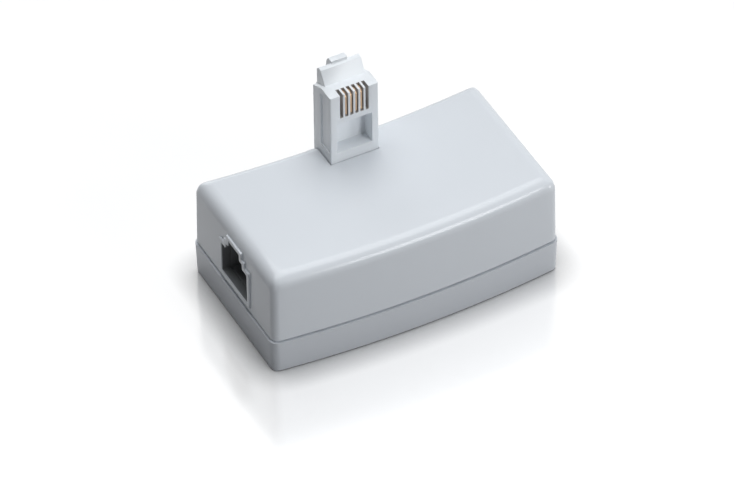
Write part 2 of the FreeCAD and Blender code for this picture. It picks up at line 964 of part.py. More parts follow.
def make_resistor(number):
    """A dog-bone body lying over the board on two bent leads."""
    name = f"resistor_{number}"
    x = row_start + bay * 1.25
    y = post_back / 4 * (number * 2 - 1)
    radius = size.resistor_diameter / 2
    waist = size.resistor_waist / 2
    z = board_top + radius + size.fit_gap
    half = bay - size.resistor_end_gap
    body = new_body(name)
    sketch = facing(body, y)
    polygon(
        sketch,
        [
            (x - half, z),
            (x - half, z + waist),
            (x - half + size.fit_gap * 2, z + radius),
            (x - half + size.resistor_cap, z + radius),
            (x - half + size.resistor_cap, z + waist),
            (x + half - size.resistor_cap, z + waist),
            (x + half - size.resistor_cap, z + radius),
            (x + half - size.fit_gap * 2, z + radius),
            (x + half, z + waist),
            (x + half, z),
        ],
    )
    turn = body.newObject("PartDesign::Revolution", f"{name}_turn")
    turn.Profile = sketch
    turn.ReferenceAxis = (sketch, [f"Edge{sketch.GeometryCount}"])
    turn.Angle = 360
    doc.recompute()
    leads = []
    thick = size.lead_width / 2
    for side in (-1, 1):
        body = new_body(f"{name}_lead_{side + 2}", leads)
        sketch = facing(body, y - thick)
        outer = bay + thick
        inner = bay - thick
        bend = size.lead_bend
        outline = [
            (half, z - thick),
            (inner - bend / 2, z - thick),
            (inner, z - thick - bend / 2),
            (inner, lead_bottom),
            (outer, lead_bottom),
            (outer, z + thick - bend),
            (outer - bend, z + thick),
            (half, z + thick),
        ]
        polygon(sketch, [(x + along * side, up) for along, up in outline])
        pad(body, sketch, size.lead_width, reverse=True)
        board_holes.append((x + bay * side, y, size.lead_width))
    parts.append(group(f"{name}_leads", "Compound", leads))


def make_board():
    body = new_body("circuit_board")
    sketch = level(body, board_bottom)
    case_outline(sketch, size.wall + size.board_gap)
    pad(body, sketch, size.board_thickness)
    sketch = level(body, board_bottom)
    hook_inner = size.wall + size.fit_gap + size.hook_thickness
    strip_width = size.hook_width + size.board_gap * 2
    wall_strips(sketch, size.wall, hook_inner + size.board_gap, strip_width)
    pocket(body, sketch, size.board_thickness, reverse=True)
    sketch = level(body, board_bottom)
    for x, y in posts:
        circle(sketch, x, y, size.post_pin + size.hole_gap)
    pocket(body, sketch, size.board_thickness, reverse=True)
    sketch = level(body, board_bottom)
    for x, y, width in board_holes:
        half = (width + size.hole_gap) / 2
        rectangle(sketch, x - half, x + half, y - half, y + half)
    pocket(body, sketch, size.board_thickness, reverse=True)


make_base()
make_cover()
make_plug()
make_plug_contacts()
make_jack()
make_jack_springs()
for coil in (1, 2):
    make_coil(coil)
for capacitor in (1, 2, 3):
    make_capacitor(capacitor)
for resistor in (1, 2):
    make_resistor(resistor)
make_board()
doc.recompute()

for item in doc.Objects:
    if "Invalid" in item.State or "Error" in item.State:
        raise RuntimeError(f"{item.Label} failed: {item.State}")
for piece in parts:
    if piece.Shape.isNull() or not piece.Shape.isValid():
        raise RuntimeError(f"{piece.Label} has no valid shape")

os.makedirs("parts", exist_ok=True)
for piece in parts:
    piece.Shape.exportStep(f"parts/{piece.Label}.step")
    print(piece.Label, len(piece.Shape.Solids), round(piece.Shape.Volume, 2))
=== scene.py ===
# %% [markdown]
# # A line filter with a plug on its roof
#
# The object is a small plastic box in two shells. A modular jack opens in its left end, and a
# rigid modular plug stands on the roof at the back edge. This lesson loads the measured model as
# a fixed frame and dresses it: shells and plug get soft moulded edges, and every piece gets a
# finish made of nodes. Lengths are in metres, so `MM` turns millimetres into them.

from math import cos, radians, sin, tan

import bmesh
import bpy
from mathutils import Matrix, Vector


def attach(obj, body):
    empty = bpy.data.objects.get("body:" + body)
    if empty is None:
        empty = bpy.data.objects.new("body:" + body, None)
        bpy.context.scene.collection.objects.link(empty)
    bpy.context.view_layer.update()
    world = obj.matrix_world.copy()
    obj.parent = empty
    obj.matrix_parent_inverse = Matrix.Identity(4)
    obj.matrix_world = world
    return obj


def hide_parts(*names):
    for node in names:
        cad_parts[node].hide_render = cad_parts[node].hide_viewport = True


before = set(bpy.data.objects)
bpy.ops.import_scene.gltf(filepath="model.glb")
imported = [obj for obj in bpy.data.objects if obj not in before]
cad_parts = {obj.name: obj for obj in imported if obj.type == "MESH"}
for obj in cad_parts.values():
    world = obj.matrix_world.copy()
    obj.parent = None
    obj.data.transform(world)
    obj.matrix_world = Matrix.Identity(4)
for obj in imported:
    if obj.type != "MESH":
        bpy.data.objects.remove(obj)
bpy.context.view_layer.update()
MM = 0.001
print("nodes in the frame:", len(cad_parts))

# %% [markdown]
# ## Camera
#
# The picture was taken from the front left, from well above, with a long lens. A long lens far
# away keeps the edges nearly parallel, as they are in the photograph. The camera's right and up
# directions come from two angles and a small roll, and its place is a distance back from the
# point it aims at. That point lies a little left of the middle of the case and below it, because
# the case isn't in the middle of the photograph.

# %% Camera at the photograph's angle
AZIMUTH = radians(27.33)
ELEVATION = radians(42.67)
ROLL = radians(-0.655)
DISTANCE = 1145 * MM
FOCAL_LENGTH = 313.6
SENSOR_WIDTH = 36
FARTHEST = 20
AIM_HEIGHT = 10.8 * MM
AIM_LEFT = 1.62 * MM
AIM_DOWN = 4.68 * MM
ahead_flat = Vector((sin(AZIMUTH), cos(AZIMUTH), 0))
ahead = ahead_flat * cos(ELEVATION) - Vector((0, 0, sin(ELEVATION)))
level_right = Vector((cos(AZIMUTH), -sin(AZIMUTH), 0))
level_up = ahead_flat * sin(ELEVATION) + Vector((0, 0, cos(ELEVATION)))
right = level_right * cos(ROLL) + level_up * sin(ROLL)
up = level_up * cos(ROLL) - level_right * sin(ROLL)
aim = Vector((0, 0, AIM_HEIGHT)) - right * AIM_LEFT - up * AIM_DOWN

lens = bpy.data.cameras.new("camera")
lens.lens = FOCAL_LENGTH
lens.sensor_width = SENSOR_WIDTH
lens.clip_end = FARTHEST
camera = bpy.data.objects.new("camera", lens)
bpy.context.scene.collection.objects.link(camera)
turn = Matrix((right, up, -ahead)).transposed().to_4x4()
camera.matrix_world = Matrix.Translation(aim - ahead * DISTANCE) @ turn
bpy.context.scene.camera = camera
bpy.context.scene.view_settings.view_transform = "Standard"
print("camera at", [round(value, 3) for value in camera.matrix_world.translation])

# %% [markdown]
# ## Node helpers
#
# Every finish below is a small tree of shader nodes. `add_node` makes a node and fills its
# sockets: a value is set on the socket, and another node's output is linked to it. A socket goes
# by its name, with _ for each space, or by s and its number. That keeps a material down to one
# line for each of its nodes.


# %% Make and link shader nodes
def new_tree(name):
    material = bpy.data.materials.new(name)
    material.use_nodes = True
    material.node_tree.nodes.clear()
    return material, material.node_tree


def add_node(tree, kind, properties=None, **sockets):
    node = tree.nodes.new("ShaderNode" + kind)
    for name, value in (properties or {}).items():
        setattr(node, name, value)
    for name, value in sockets.items():
        by_number = name[1:].isdigit()
        socket = node.inputs[int(name[1:]) if by_number else name.replace("_", " ")]
        if isinstance(value, bpy.types.NodeSocket):
            tree.links.new(value, socket)
        else:
            socket.default_value = value
    return node


def show(tree, shader):
    add_node(tree, "OutputMaterial", Surface=shader)


# %% [markdown]
# ## Floor and backdrop
#
# The object stands on a glossy white sheet that fades into a white background, with a faint
# mirror image below its edges. The sheet is a matt white with some gloss over it. What the camera
# sees of it gets a little light of its own, so that it reaches white without more light on the
# object, and the shadow and the mirror image stay in it. Ambient occlusion fades that light in the
# crease under the object: a painted contact shadow, the thin dark line where the part stands.

# %% White glossy floor
FLOOR_HALF = 3.0
FLOOR_TONE = (0.4, 0.4, 0.405, 1)
FLOOR_ROUGHNESS = 0.14
FLOOR_GLOW = 0.52
FLOOR_MIRROR = 0.38
CREASE_REACH = 6 * MM
CREASE_SAMPLES = 8
CREASE_POWER = 2.4
WHITE = (1, 1, 1, 1)
floor_mesh = bpy.data.meshes.new("floor")
sheet = bmesh.new()
bmesh.ops.create_grid(sheet, x_segments=1, y_segments=1, size=FLOOR_HALF)
sheet.to_mesh(floor_mesh)
sheet.free()
floor = bpy.data.objects.new("floor", floor_mesh)
bpy.context.scene.collection.objects.link(floor)

floor_white, tree = new_tree("floor_white")
rays = add_node(tree, "LightPath")
matt = add_node(tree, "BsdfDiffuse", Color=FLOOR_TONE)
gloss = add_node(tree, "BsdfAnisotropic", Color=WHITE, Roughness=FLOOR_ROUGHNESS)
mirror = add_node(
    tree, "Math", {"operation": "MULTIPLY"}, s0=rays.outputs["Is Camera Ray"], s1=FLOOR_MIRROR
)
polished = add_node(tree, "MixShader", s0=mirror.outputs[0], s1=matt.outputs[0], s2=gloss.outputs[0])
seen = add_node(
    tree, "Math", {"operation": "MAXIMUM"}, s0=rays.outputs["Is Camera Ray"],
    s1=rays.outputs["Is Glossy Ray"],
)
# Painted contact shadow: ambient occlusion dims the floor's own light in the crease under the object
painted_crease_shadow = add_node(tree, "AmbientOcclusion", {"samples": CREASE_SAMPLES}, Distance=CREASE_REACH)
open_floor = add_node(
    tree, "Math", {"operation": "POWER"}, s0=painted_crease_shadow.outputs["AO"], s1=CREASE_POWER
)
full = add_node(tree, "Math", {"operation": "MULTIPLY"}, s0=seen.outputs[0], s1=FLOOR_GLOW)
strength = add_node(
    tree, "Math", {"operation": "MULTIPLY"}, s0=full.outputs[0], s1=open_floor.outputs[0]
)
glow = add_node(tree, "Emission", Color=WHITE, Strength=strength.outputs[0])
white = add_node(tree, "AddShader", s0=polished.outputs[0], s1=glow.outputs[0])
show(tree, white.outputs[0])
floor_mesh.materials.append(floor_white)
print("floor made,", floor.dimensions.x, "m wide")

# %% [markdown]
# ## Light
#
# A soft studio with four round lamps. A big one high above, a little behind and to the right,
# lights the roof and lays the plug's shadow to the left. One in front on the right lights the long
# front wall. A small one stands low on the right, and its mirror image is the thin bright line
# along the front edge of the roof. The last one lights the back wall. The left end gets no lamp,
# which makes it the darkest face. A faint plain world fills the rest, and it is white only to the
# camera and in mirror images.


# %% World
BACKDROP_GLOSS = 0.7
WORLD_TONE = (0.9, 0.95, 1.0, 1)
WORLD_STRENGTH = 0.03
world = bpy.data.worlds.new("studio")
bpy.context.scene.world = world
world.use_nodes = True
tree = world.node_tree
tree.nodes.clear()
rays = add_node(tree, "LightPath")
mirrored = add_node(
    tree, "Math", {"operation": "MULTIPLY"}, s0=rays.outputs["Is Glossy Ray"], s1=BACKDROP_GLOSS
)
seen = add_node(
    tree, "Math", {"operation": "MAXIMUM"}, s0=rays.outputs["Is Camera Ray"], s1=mirrored.outputs[0]
)
through = add_node(
    tree, "Math", {"operation": "MAXIMUM"}, s0=seen.outputs[0],
    s1=rays.outputs["Is Transmission Ray"],
)
fill = add_node(tree, "Background", Color=WORLD_TONE, Strength=WORLD_STRENGTH)
backdrop = add_node(tree, "Background", Color=WHITE, Strength=1.0)
both = add_node(tree, "MixShader", s0=through.outputs[0], s1=fill.outputs[0], s2=backdrop.outputs[0])
add_node(tree, "OutputWorld", Surface=both.outputs[0])
print("world made")


# %% Four soft lamps
def soft_lamp(name, place, size, power, colour):
    light = bpy.data.lights.new(name, "AREA")
    light.shape = "DISK"
    light.size = size
    light.energy = power
    light.color = colour
    lamp = bpy.data.objects.new(name, light)
    bpy.context.scene.collection.objects.link(lamp)
    lamp.location = place
    lamp.rotation_euler = (-Vector(place)).to_track_quat("-Z", "Y").to_euler()
    print(name, "at", place, power, "W")


COOL = (0.965, 0.985, 1.0)
PLAIN = (1.0, 1.0, 1.0)
# Name, place, size across in metres, power in watts and colour
LAMPS = (
    ("roof_lamp", (0.1, 0.2, 1.0), 1.05, 9.1, COOL),
    ("front_lamp", (0.36, -0.78, 0.43), 0.38, 2.9, COOL),
    ("edge_lamp", (0.86, -0.68, 0.105), 0.13, 1.5, PLAIN),
    ("back_lamp", (0.1, 0.95, 0.3), 0.5, 1.5, COOL),
)
for settings in LAMPS:
    soft_lamp(*settings)

# %% [markdown]
# ## Finishes
#
# Moulded plastic is never one flat colour: the pigment drifts a little over the surface, the
# gloss changes where the mould was polished or handled, and spark erosion leaves a fine grain.
# `moulded` gives a plastic all three, from noise on the object's own coordinates.


# %% Moulded plastic
CLOUD_SCALE = 90.0
RUB_SCALE = 260.0
RUB_SPREAD = 0.06
GRAIN_HEIGHT = 0.02 * MM


def moulded(name, colour, roughness, grain=0.35 * MM, bump=0.05, drift=0.03, extra=None):
    material, tree = new_tree(name)
    place = add_node(tree, "TexCoord").outputs["Object"]
    cloud = add_node(tree, "TexNoise", Vector=place, Scale=CLOUD_SCALE, Detail=3.0, Roughness=0.55)
    dark = tuple(value * (1 - drift) for value in colour) + (1,)
    light = tuple(min(1, value * (1 + drift)) for value in colour) + (1,)
    tint = add_node(
        tree, "Mix", {"data_type": "RGBA"}, Factor=cloud.outputs["Fac"], s6=dark, s7=light
    )
    rub = add_node(tree, "TexNoise", Vector=place, Scale=RUB_SCALE, Detail=4.0, Roughness=0.6)
    gloss = add_node(
        tree, "MapRange", Value=rub.outputs["Fac"], To_Min=roughness * (1 - RUB_SPREAD),
        To_Max=roughness * (1 + RUB_SPREAD),
    )
    fine = add_node(tree, "TexNoise", Vector=place, Scale=1 / grain, Detail=2.0, Roughness=0.5)
    relief = add_node(
        tree, "Bump", Strength=bump, Distance=GRAIN_HEIGHT, Height=fine.outputs["Fac"]
    )
    skin = add_node(
        tree, "BsdfPrincipled", Base_Color=tint.outputs[2], Roughness=gloss.outputs[0],
        Normal=relief.outputs[0], **(extra or {})
    )
    show(tree, skin.outputs[0])
    return material


satin = {"Specular_IOR_Level": 0.36}
case_skin = {"grain": 0.28 * MM, "drift": 0.012, "extra": satin}
shell_white = moulded("shell_white", (0.76, 0.79, 0.83), 0.18, bump=0.13, **case_skin)
# The base's plastic is the cover's made darker: painted shade for its low walls by the floor
base_white_painted_shade = moulded("base_white_painted_shade", (0.69, 0.715, 0.755), 0.3, bump=0.2, **case_skin)
plug_white = moulded("plug_white", (0.86, 0.89, 0.92), 0.25, bump=0.05, drift=0.01, extra=satin)
# Painted shade for the walls inside the plug's comb, warm for a painted reflection of the gold
# contacts
slot_painted_shade = moulded("slot_painted_shade", (0.47, 0.445, 0.43), 0.35, bump=0.05)
jack_grey = moulded("jack_grey", (0.23, 0.24, 0.25), 0.4, bump=0.05)
bobbin_black = moulded("bobbin_black", (0.03, 0.03, 0.032), 0.4, bump=0.1)
capacitor_red = moulded("capacitor_red", (0.35, 0.05, 0.03), 0.28, bump=0.04)
resistor_buff = moulded("resistor_buff", (0.62, 0.48, 0.3), 0.35, bump=0.06)
print("plastics made")

# %% [markdown]
# Metal parts take their colour from the metal itself. Thin noise on the roughness keeps the
# gold of the contacts and the tin of the leads from looking like paint.


# %% Metals, ferrite, wire and board
METAL_SCALE = 1500.0
METAL_SPREAD = 0.3
METAL_BUMP = 0.1
SCRATCH_HEIGHT = 0.01 * MM


def metal(name, colour, roughness):
    material, tree = new_tree(name)
    place = add_node(tree, "TexCoord").outputs["Object"]
    rub = add_node(tree, "TexNoise", Vector=place, Scale=METAL_SCALE, Detail=3.0, Roughness=0.6)
    gloss = add_node(
        tree, "MapRange", Value=rub.outputs["Fac"], To_Min=roughness * (1 - METAL_SPREAD),
        To_Max=roughness * (1 + METAL_SPREAD),
    )
    relief = add_node(
        tree, "Bump", Strength=METAL_BUMP, Distance=SCRATCH_HEIGHT, Height=rub.outputs["Fac"]
    )
    skin = add_node(
        tree, "BsdfPrincipled", Base_Color=colour + (1,), Metallic=1.0, Roughness=gloss.outputs[0],
        Normal=relief.outputs[0],
    )
    show(tree, skin.outputs[0])
    return material


contact_gold = metal("contact_gold", (0.58, 0.4, 0.26), 0.34)
tin_bright = metal("tin_bright", (0.72, 0.72, 0.73), 0.32)
ferrite_dark = moulded(
    "ferrite_dark", (0.045, 0.045, 0.05), 0.62, grain=0.2 * MM, bump=0.5, drift=0.2
)
wire_copper = metal("wire_copper", (0.72, 0.3, 0.13), 0.3)
board_green = moulded("board_green", (0.05, 0.2, 0.09), 0.35, bump=0.1, drift=0.08)
print("metals, ferrite and board made")

# %% [markdown]
# A node takes the first finish whose word is in its name. The leads stand before the capacitors
# and resistors that they belong to, because their names hold both words.

# %% Give each node its finish
FINISHES = {
    "top_cover": shell_white,
    "base_cover": shell_white,
    "plug_housing": plug_white,
    "plug_contact": contact_gold,
    "jack_housing": jack_grey,
    "jack_insert": jack_grey,
    "jack_contact": contact_gold,
    "circuit_board": board_green,
    "bobbin": bobbin_black,
    "winding": wire_copper,
    "core": ferrite_dark,
    "pins": tin_bright,
    "leads": tin_bright,
    "capacitor": capacitor_red,
    "resistor": resistor_buff,
}

for name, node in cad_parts.items():
    finish = next(material for word, material in FINISHES.items() if word in name)
    node.data.materials.clear()
    node.data.materials.append(finish)
print("finishes on", len(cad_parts), "nodes")

# %% [markdown]
# ## Shells
#
# Each shell starts as a cube stretched to the case. Its long edges are cut into short runs, and
# the points are then moved onto the two bows: the front wall swells outwards and the back wall
# draws in. The walls also lean in a little away from the seam, the draft that lets them leave the
# mould. Each edge that the mould rounds gets its radius as a bevel weight, a share of the widest
# one: a single Bevel modifier then rounds the roof's edge wide and the upright corners tighter.
#
# `STEP` is how far the walls of the cover stand back from those of the base, and `GAP` is the
# height of the thin line between them.

# %% Stretch and bow a block
CASE_LENGTH = 58.0 * MM
CASE_WIDTH = 31.6 * MM
CASE_TOP = 21.6 * MM
SEAM = 7.35 * MM
FRONT_BOW = 1.8 * MM
BACK_BOW = 1.55 * MM
STEP = 0.28 * MM
GAP = 0.4 * MM
WALL = 1.8 * MM
ROOF_RADIUS = 2.5 * MM
RUNS = 20
CORNER_REACH = 0.6 * MM
TOLERANCE = 0.01 * MM
FACING = 0.9


def bowed_block(low, high, inset, draft):
    """A block between two heights, bowed like the case and set in from its walls."""
    shape = bmesh.new()
    bmesh.ops.create_cube(shape, size=1.0)
    bmesh.ops.scale(shape, vec=(CASE_LENGTH, CASE_WIDTH, high - low), verts=shape.verts)
    bmesh.ops.translate(shape, vec=(0, 0, (low + high) / 2), verts=shape.verts)
    long_edges = [
        edge for edge in shape.edges if abs(edge.verts[0].co.x - edge.verts[1].co.x) > CASE_LENGTH / 2
    ]
    bmesh.ops.subdivide_edges(shape, edges=long_edges, cuts=RUNS - 1, use_grid_fill=True)
    for vert in shape.verts:
        swell = 1 - (vert.co.x / (CASE_LENGTH / 2)) ** 2
        lean = inset + abs(vert.co.z - SEAM) * tan(draft)
        side = 1 if vert.co.y > 0 else -1
        bow = FRONT_BOW if side < 0 else BACK_BOW
        vert.co.y += -bow * swell - side * lean
        vert.co.x *= 1 - lean / (CASE_LENGTH / 2)
    return shape


def round_edges(shape, chosen, radius):
    """Write the radius of the chosen edges as their bevel weight."""
    layer = shape.edges.layers.float.get("bevel_weight_edge")
    layer = layer or shape.edges.layers.float.new("bevel_weight_edge")
    for edge in shape.edges:
        if chosen(edge):
            edge[layer] = radius / ROOF_RADIUS


def upright_corner(edge, inset=0):
    """True for the edges between a long wall and an end."""
    upright = abs(edge.verts[0].co.z - edge.verts[1].co.z) > FACING * edge.calc_length()
    reach = CORNER_REACH + inset
    return upright and all(
        abs(vert.co.x) > CASE_LENGTH / 2 - reach and abs(vert.co.y) > CASE_WIDTH / 2 - reach
        for vert in edge.verts
    )


def outer_rim(edge, height):
    """True for the edges around a block at a height, and not for those across its face."""
    level_edge = all(abs(vert.co.z - height) < TOLERANCE for vert in edge.verts)
    return level_edge and len({round(face.normal.z) for face in edge.link_faces}) > 1


def drop_faces(shape, chosen, context="FACES_ONLY"):
    """Delete the chosen faces, and return how many they were."""
    faces = [face for face in shape.faces if chosen(face)]
    bmesh.ops.delete(shape, geom=faces, context=context)
    return len(faces)


# %% [markdown]
# A shell is open where it meets the other one. Solidify gives it a wall inwards, and a second
# narrow Bevel softens every edge that is still sharp, as at the joint and around the openings.


# %% Turn a block into a moulded shell
def add_modifier(piece, kind, name, **settings):
    modifier = piece.modifiers.new(name, kind)
    for key, value in settings.items():
        setattr(modifier, key, value)


def new_piece(shape, name, material, slot, *nodes):
    """Turn a shape into a piece of the root body that stands in for the nodes."""
    mesh = bpy.data.meshes.new(name)
    shape.normal_update()
    shape.to_mesh(mesh)
    shape.free()
    mesh.materials.append(material)
    for polygon in mesh.polygons:
        polygon.use_smooth = True
    piece = bpy.data.objects.new(name, mesh)
    bpy.context.scene.collection.objects.link(piece)
    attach(piece, "root")
    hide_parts(*nodes)
    print(name, "from", len(mesh.polygons), "faces")
    return piece


def soften(piece, width, segments=3, angle=35):
    add_modifier(
        piece, "BEVEL", "soft edges", width=width, segments=segments, limit_method="ANGLE",
        angle_limit=radians(angle), harden_normals=True,
    )


def mould(piece, edge_radius, wall=WALL):
    """Round the weighted edges, give the piece a wall and soften what is still sharp."""
    add_modifier(
        piece, "BEVEL", "mould radii", width=ROOF_RADIUS, segments=8, limit_method="WEIGHT",
        loop_slide=False,
    )
    add_modifier(
        piece, "SOLIDIFY", "wall", thickness=wall, offset=-1, use_even_offset=False
    )
    soften(piece, edge_radius)


# %% [markdown]
# ### Base shell
#
# The base is the shallow tray under the seam. Its foot has a small radius. Its plastic is the cover's
# made darker, painted shade for its low walls by the floor.

# %% Base shell
BASE_DRAFT = radians(1.5)
BASE_CORNER = 1.5 * MM
FOOT_RADIUS = 0.5 * MM
SHELL_EDGE = 0.13 * MM

base = bowed_block(0, SEAM - GAP, 0, BASE_DRAFT)
round_edges(base, upright_corner, BASE_CORNER)
round_edges(base, lambda edge: outer_rim(edge, 0), FOOT_RADIUS)
drop_faces(base, lambda face: face.normal.z > FACING)
base_shell = new_piece(base, "base_shell", base_white_painted_shade, "shell_plastic", "base_cover")
mould(base_shell, SHELL_EDGE)

# %% [markdown]
# A lip on the base reaches up inside the cover, so the two shells can't slide apart and no light
# comes through the joint. It is a low ring that follows the walls.

# %% Lip
LIP_INSET = 1.0 * MM
LIP_BELOW = 1.5 * MM
LIP_ABOVE = 1.2 * MM
LIP_WALL = 0.8 * MM
LIP_CORNER = 1.0 * MM
LIP_EDGE = 0.1 * MM

lip = bowed_block(SEAM - LIP_BELOW, SEAM + LIP_ABOVE, LIP_INSET, 0)
round_edges(lip, lambda edge: upright_corner(edge, LIP_INSET), LIP_CORNER)
drop_faces(lip, lambda face: abs(face.normal.z) > FACING)
lip_ring = new_piece(lip, "lip_ring", base_white_painted_shade, "shell_plastic")
mould(lip_ring, LIP_EDGE, LIP_WALL)

# %% [markdown]
# ### Cover shell
#
# The cover has two openings. They are cut with planes, each through only the faces that the
# opening lies in, so the rest of the shell keeps its clean rows of faces: `slice_faces` cuts, and
# `drop_faces` takes out what lies inside the outline.

# %% Cutting helpers
MERGE = 1e-7


def slice_faces(shape, chosen, point, normal):
    """Cut the chosen faces along a plane."""
    faces = [face for face in shape.faces if chosen(face)]
    edges = {edge for face in faces for edge in face.edges}
    verts = {vert for face in faces for vert in face.verts}
    bmesh.ops.bisect_plane(
        shape, geom=list(verts) + list(edges) + faces, dist=MERGE, plane_co=point, plane_no=normal
    )


def inside(face, low, high):
    """True for a face whose middle lies between two corners of a box."""
    middle = face.calc_center_median()
    return all(a < value < b for a, value, b in zip(low, middle, high))


# %% [markdown]
# The jack's opening is the outline of a modular plug with its latch upwards: a wide part, a
# narrower step and a narrow slot. Each step has its half width, its foot and its top. The hole in
# the wall is a little larger than that, because the bezel made further down lines it.

# %% Cover shell with the jack's opening
JACK_Y = -0.92 * MM
STEPS = (
    (4.95 * MM, 9.0 * MM, 15.7 * MM),
    (3.15 * MM, 15.7 * MM, 16.9 * MM),
    (2.1 * MM, 16.9 * MM, 18.3 * MM),
)
HOLE_MARGIN = 0.45 * MM
HOLE_LOW = STEPS[0][1] - HOLE_MARGIN
COVER_DRAFT = radians(0.7)

cover = bowed_block(SEAM, CASE_TOP, STEP, COVER_DRAFT)


def left_end(face):
    return face.normal.x < -FACING


def in_mouth(face):
    """True for a face of the left end that lies in the stepped hole."""
    middle = face.calc_center_median()
    return left_end(face) and any(
        abs(middle.y - JACK_Y) < half + HOLE_MARGIN and HOLE_LOW < middle.z < high + HOLE_MARGIN
        for half, _, high in STEPS
    )


cover.normal_update()
for half, _, high in STEPS:
    for side in (-1, 1):
        slice_faces(cover, left_end, Vector((0, JACK_Y + side * (half + HOLE_MARGIN), 0)), (0, 1, 0))
    slice_faces(cover, left_end, Vector((0, 0, high + HOLE_MARGIN)), (0, 0, 1))
slice_faces(cover, left_end, Vector((0, 0, HOLE_LOW)), (0, 0, 1))
print("opening cut from", drop_faces(cover, in_mouth, "FACES"), "faces")

# %% [markdown]
# The plug stands in a well that takes in the roof's back edge, so two planes cut the roof and the
# back wall together, and one more cuts each of them alone. Then the open foot of the cover goes,
# and its edges get their radii.

# %% The well for the plug
PLUG_X = -0.4 * MM
PLUG_HALF = 4.925 * MM
PLUG_FRONT = 7.0 * MM
SEAT = 18.4 * MM
BEYOND = 1.0
COVER_CORNER = 1.375 * MM


def on_roof(face):
    return face.normal.z > FACING


def on_back(face):
    return face.normal.y > FACING


def roof_or_back(face):
    return on_roof(face) or on_back(face)


def in_well(face):
    low = (PLUG_X - PLUG_HALF, PLUG_FRONT, SEAT)
    return roof_or_back(face) and inside(face, low, (PLUG_X + PLUG_HALF, BEYOND, BEYOND))


cover.normal_update()
for x in (PLUG_X - PLUG_HALF, PLUG_X + PLUG_HALF):
    slice_faces(cover, roof_or_back, Vector((x, 0, 0)), (1, 0, 0))
slice_faces(cover, on_roof, Vector((0, PLUG_FRONT, 0)), (0, 1, 0))
slice_faces(cover, on_back, Vector((0, 0, SEAT)), (0, 0, 1))
print("well cut from", drop_faces(cover, in_well, "FACES"), "faces")
drop_faces(cover, lambda face: face.normal.z < -FACING)
round_edges(cover, upright_corner, COVER_CORNER)
round_edges(cover, lambda edge: outer_rim(edge, CASE_TOP), ROOF_RADIUS)
cover_shell = new_piece(cover, "cover_shell", shell_white, "shell_plastic", "top_cover")
mould(cover_shell, SHELL_EDGE)

# %% [markdown]
# ### Posts, columns, hooks and collar
#
# Four posts on the base carry the board, each with a pin through it, and four columns under the
# roof hold it down. They are plain cylinders, sunk into the wall that they stand on.

# %% Round posts and columns
POST_RADIUS = 2.2 * MM
PIN_RADIUS = 0.9 * MM
BOARD_LOW = 5.9 * MM
BOARD_HIGH = 7.5 * MM
PLAY = 0.1 * MM
POST_FOOT = WALL / 2
ROOF_LOW = CASE_TOP - WALL
POST_X = 22.5 * MM
POST_ROWS = (-11.0 * MM, 9.6 * MM)
ROUND_SIDES = 32


def add_post(shape, x, y, radius, low, high):
    post = bmesh.ops.create_cone(
        shape, cap_ends=True, segments=ROUND_SIDES, radius1=radius, radius2=radius, depth=high - low
    )
    bmesh.ops.translate(shape, vec=(x, y, (low + high) / 2), verts=post["verts"])


posts = bmesh.new()
columns = bmesh.new()
for x in (-POST_X, POST_X):
    for y in POST_ROWS:
        add_post(posts, x, y, POST_RADIUS, POST_FOOT, BOARD_LOW)
        add_post(posts, x, y, PIN_RADIUS, BOARD_LOW, BOARD_HIGH - PLAY)
        add_post(columns, x, y, POST_RADIUS, BOARD_HIGH + PLAY, ROOF_LOW + WALL / 2)
board_posts = new_piece(posts, "board_posts", base_white_painted_shade, "shell_plastic")
board_columns = new_piece(columns, "board_columns", shell_white, "shell_plastic")

# %% [markdown]
# Snap hooks on the base reach up inside the long walls and catch in the cover. A collar under the
# roof holds the plug. They are boxes with soft edges, and the collar is open above and below.

# %% Snap hooks and collar
HOOK_X = 14.0 * MM
HOOK_HALF = 2.5 * MM
HOOK_THICK = 1.2 * MM
HOOK_TOP = 10.55 * MM
HOOK_SINK = 2.0 * MM
COLLAR_WALL = 1.5 * MM
COLLAR_LOW = 17.0 * MM
COLLAR_DEPTH = 6.8 * MM
INNER_EDGE = 0.15 * MM


def add_box(shape, low, high):
    box = bmesh.ops.create_cube(shape, size=1.0)
    bmesh.ops.scale(shape, vec=high - low, verts=box["verts"])
    bmesh.ops.translate(shape, vec=(low + high) / 2, verts=box["verts"])


hooks = bmesh.new()
swell = 1 - (HOOK_X / (CASE_LENGTH / 2)) ** 2
front_y = -CASE_WIDTH / 2 - FRONT_BOW * swell + HOOK_SINK
back_y = CASE_WIDTH / 2 - BACK_BOW * swell - HOOK_SINK
for x in (-HOOK_X, HOOK_X):
    for y in (front_y, back_y - HOOK_THICK):
        low = Vector((x - HOOK_HALF, y, POST_FOOT))
        add_box(hooks, low, Vector((x + HOOK_HALF, y + HOOK_THICK, HOOK_TOP)))
snap_hooks = new_piece(hooks, "snap_hooks", base_white_painted_shade, "shell_plastic")
collar = bmesh.new()
add_box(
    collar,
    Vector((PLUG_X - PLUG_HALF - COLLAR_WALL, PLUG_FRONT - COLLAR_WALL, COLLAR_LOW)),
    Vector((PLUG_X + PLUG_HALF + COLLAR_WALL, PLUG_FRONT + COLLAR_DEPTH, ROOF_LOW + WALL / 3)),
)
collar.normal_update()
drop_faces(collar, lambda face: abs(face.normal.z) > FACING)
plug_collar = new_piece(collar, "plug_collar", shell_white, "shell_plastic")
add_modifier(plug_collar, "SOLIDIFY", "wall", thickness=COLLAR_WALL - PLAY, offset=-1)
for piece in (board_posts, board_columns, snap_hooks, plug_collar):
    soften(piece, INNER_EDGE, segments=2)

# %% [markdown]
# ### Bezel and the nose of the jack
#
# The bezel is a frame between two stepped outlines, one inside the other. Each pair of neighbouring
# points gives one flat face of the frame, and extruding it gives the depth. A bevel on the edges
# that run through the wall rounds its corners, and the fine ones come from `soften`.

# %% Stepped frame
CORNER_RADIUS = 0.28 * MM


